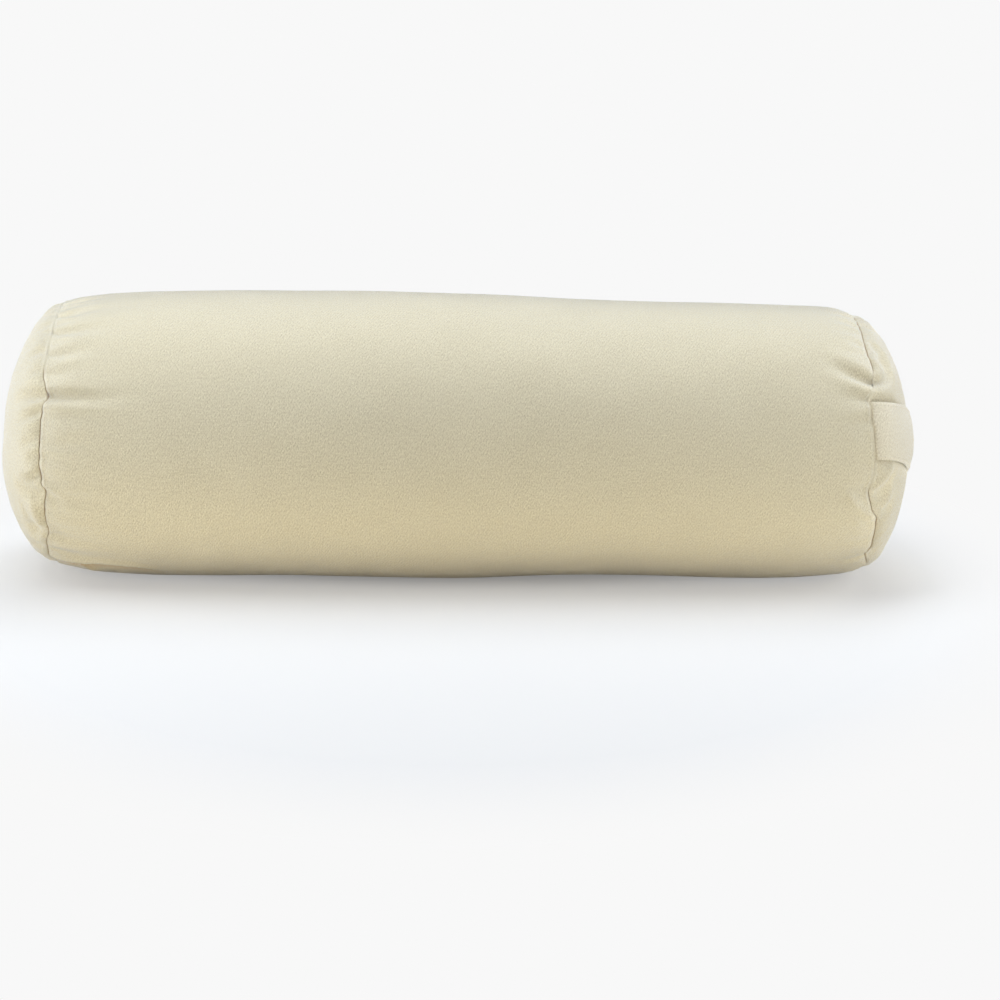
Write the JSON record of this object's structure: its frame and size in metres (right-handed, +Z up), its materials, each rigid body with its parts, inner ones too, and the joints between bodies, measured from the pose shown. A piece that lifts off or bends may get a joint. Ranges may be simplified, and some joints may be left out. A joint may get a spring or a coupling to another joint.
{
  "type": "yoga bolster",
  "caption": "Round cotton bolster with gently domed sewn ends, a wide carry handle across one end and a long zip in its back seam.",
  "frame": {"origin": "centre of the bounding box at floor level, on the flattened underside", "axes": "+X along the bolster towards its handle end, +Y away from the picture's camera, +Z up"},
  "size_m": [0.7458, 0.2349, 0.2309],
  "materials": {
    "twill": "natural undyed cotton twill, matt",
    "handle_twill": "the same twill, folded and pressed",
    "zip_tape": "woven cream tape",
    "zip_teeth": "moulded cream teeth",
    "zip_metal": "dull brass",
    "liner_muslin": "plain unbleached muslin",
    "batting": "carded cotton batting",
    "core_foam": "firm rolled filling"
  },
  "bodies": {
    "bolster": {"cover_body": "twill", "cover_end_left": "twill", "cover_end_right": "twill", "handle_strap": "handle_twill", "zip_tape_upper": "zip_tape", "zip_tape_lower": "zip_tape", "zip_teeth_upper": "zip_teeth", "zip_teeth_lower": "zip_teeth", "zip_top_stop_upper": "zip_metal", "zip_top_stop_lower": "zip_metal", "zip_bottom_stop": "zip_metal", "liner_body": "liner_muslin", "liner_end_left": "liner_muslin", "liner_end_right": "liner_muslin", "batting_wrap": "batting", "batting_pad_left": "batting", "batting_pad_right": "batting", "fill_core": "core_foam"},
    "zip_slider": {"zip_slider": "zip_metal"},
    "zip_pull": {"zip_pull": "zip_metal"}
  },
  "joints": [
    {"name": "zip_slide", "type": "slide", "parent": "bolster", "child": "zip_slider", "axis": [-0.9999, 0.0072, 0.0116], "range_m": [0, 0.463], "deforming": ["zip_teeth_upper", "zip_teeth_lower"]},
    {"name": "zip_pull_hinge", "type": "hinge", "parent": "zip_slider", "child": "zip_pull", "pos_m": [0.2297, 0.10462, 0.15828], "axis": [-0.0075, 0.4227, -0.9062], "range_deg": [0, 175]}
  ]
}
